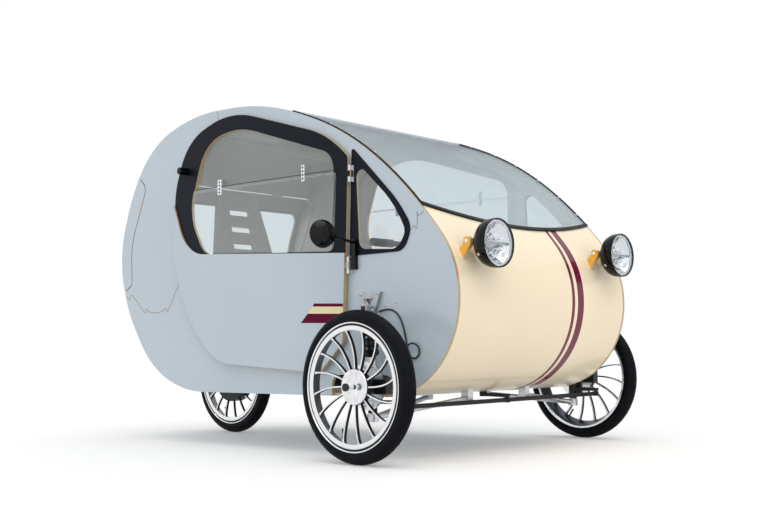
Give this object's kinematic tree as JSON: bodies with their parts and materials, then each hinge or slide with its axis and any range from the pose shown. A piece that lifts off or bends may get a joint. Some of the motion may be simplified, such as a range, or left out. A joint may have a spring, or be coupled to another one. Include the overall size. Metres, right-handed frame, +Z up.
{
  "type": "velomobile",
  "caption": "Enclosed three-wheeled pedal vehicle with plywood body, side doors, rear hatch, two steered front wheels and one rear wheel.",
  "frame": {"origin": "on the ground below the middle of the vehicle", "axes": "+X to the nose, +Y to the left, +Z up"},
  "size_m": [2.0999, 1.438, 1.36],
  "materials": {
    "panel_paint": "gloss grey-blue paint on plywood",
    "cream_paint": "gloss cream paint",
    "raw_plywood": "clear-coated birch plywood",
    "yellow_plywood": "stained plywood",
    "clear_sheet": "clear polycarbonate",
    "lamp_lens": "ribbed clear lens",
    "black_rubber": "matte",
    "tyre_rubber": "matte",
    "navy_frame": "satin navy",
    "zinc_steel": "plated",
    "cast_alloy": "polished, sides of the spokes black",
    "satin_alloy": "satin",
    "black_metal": "gloss black",
    "black_plastic": "matte",
    "seat_fabric": "woven"
  },
  "bodies": {
    "body": {"side_panel_right": "panel_paint", "side_panel_left": "panel_paint", "roof_shell": "panel_paint", "rear_shell": "panel_paint", "floor_panel": "raw_plywood", "front_shell": "cream_paint", "windscreen": "clear_sheet", "windscreen_trim": "black_rubber", "quarter_frames": "navy_frame", "quarter_panes": "clear_sheet", "door_hinges": "zinc_steel", "hatch_hinges": "zinc_steel", "lower_arms": "satin_alloy", "shock_towers": "satin_alloy", "shocks": "black_metal", "pedal_post": "satin_alloy", "wheel_well": "raw_plywood", "swing_arm": "satin_alloy", "seat_back": "raw_plywood", "seat_frame": "raw_plywood", "seat_cushions": "seat_fabric", "battery": "black_plastic", "roof_ribs": "raw_plywood", "headlight_housings": "black_metal", "headlight_lenses": "lamp_lens", "headlight_brackets": "yellow_plywood", "mirrors": "black_plastic", "brake_hoses": "black_rubber"},
    "door_right": {"door_skin_right": "panel_paint", "door_frame_right": "navy_frame", "door_panes_right": "clear_sheet"},
    "door_left": {"door_skin_left": "panel_paint", "door_frame_left": "navy_frame", "door_panes_left": "clear_sheet"},
    "hatch": {"rear_hatch": "panel_paint", "rear_window": "clear_sheet"},
    "knuckle_right": {"knuckle_right": "satin_alloy"},
    "knuckle_left": {"knuckle_left": "satin_alloy"},
    "tie_rod": {"tie_rod": "satin_alloy"},
    "tiller": {"tiller": "black_metal"},
    "front_wheel_right": {"wheel_front_right": "cast_alloy", "tyre_front_right": "tyre_rubber"},
    "front_wheel_left": {"wheel_front_left": "cast_alloy", "tyre_front_left": "tyre_rubber"},
    "rear_wheel": {"wheel_rear": "cast_alloy", "tyre_rear": "tyre_rubber", "hub_motor": "black_metal"},
    "crankset": {"crankset": "satin_alloy"},
    "pedal_right": {"pedal_right": "black_plastic"},
    "pedal_left": {"pedal_left": "black_plastic"}
  },
  "joints": [
    {"name": "steer_right", "type": "hinge", "parent": "body", "child": "knuckle_right", "pos_m": [0.688, -0.59, 0.242], "axis": [0, 0, 1], "range_deg": [-20, 20]},
    {"name": "steer_left", "type": "hinge", "parent": "body", "child": "knuckle_left", "pos_m": [0.688, 0.59, 0.242], "axis": [0, 0, 1], "range_deg": [-20, 20]},
    {"name": "tiller_turn", "type": "hinge", "parent": "body", "child": "tiller", "pos_m": [0.688, 0, 0.4], "axis": [0, 0, 1], "range_deg": [-20, 20]},
    {"name": "tie_rod_pin", "type": "hinge", "parent": "knuckle_right", "child": "tie_rod", "pos_m": [0.798, -0.59, 0.186], "axis": [0, 0, 1], "range_deg": [-20, 20]},
    {"name": "front_wheel_right_spin", "type": "hinge", "parent": "knuckle_right", "child": "front_wheel_right", "pos_m": [0.688, -0.663, 0.254], "axis": [0, 1, 0], "continuous": true},
    {"name": "front_wheel_left_spin", "type": "hinge", "parent": "knuckle_left", "child": "front_wheel_left", "pos_m": [0.688, 0.663, 0.254], "axis": [0, 1, 0], "continuous": true},
    {"name": "rear_wheel_spin", "type": "hinge", "parent": "body", "child": "rear_wheel", "pos_m": [-0.795, 0, 0.254], "axis": [0, 1, 0], "continuous": true},
    {"name": "door_right_hinge", "type": "hinge", "parent": "body", "child": "door_right", "pos_m": [0.505, -0.519, 0.674], "axis": [0.0368, 0, 0.9993], "range_deg": [0, 50]},
    {"name": "door_left_hinge", "type": "hinge", "parent": "body", "child": "door_left", "pos_m": [0.505, 0.519, 0.674], "axis": [0.0368, 0, 0.9993], "range_deg": [-50, 0]},
    {"name": "hatch_hinge", "type": "hinge", "parent": "body", "child": "hatch", "pos_m": [-0.8386, 0, 1.14983], "axis": [0, 1, 0], "range_deg": [0, 70]},
    {"name": "crank_spin", "type": "hinge", "parent": "body", "child": "crankset", "pos_m": [0.62, 0, 0.43], "axis": [0, 1, 0], "continuous": true},
    {"name": "pedal_right_spin", "type": "hinge", "parent": "crankset", "child": "pedal_right", "pos_m": [0.46, -0.117, 0.43], "axis": [0, 1, 0], "continuous": true},
    {"name": "pedal_left_spin", "type": "hinge", "parent": "crankset", "child": "pedal_left", "pos_m": [0.78, 0.117, 0.43], "axis": [0, 1, 0], "continuous": true}
  ],
  "couplings": [
    {"joint": "steer_left", "follows": "steer_right", "ratio": 1},
    {"joint": "tiller_turn", "follows": "steer_right", "ratio": 1},
    {"joint": "tie_rod_pin", "follows": "steer_right", "ratio": -1},
    {"joint": "pedal_right_spin", "follows": "crank_spin", "ratio": -1},
    {"joint": "pedal_left_spin", "follows": "crank_spin", "ratio": -1}
  ]
}
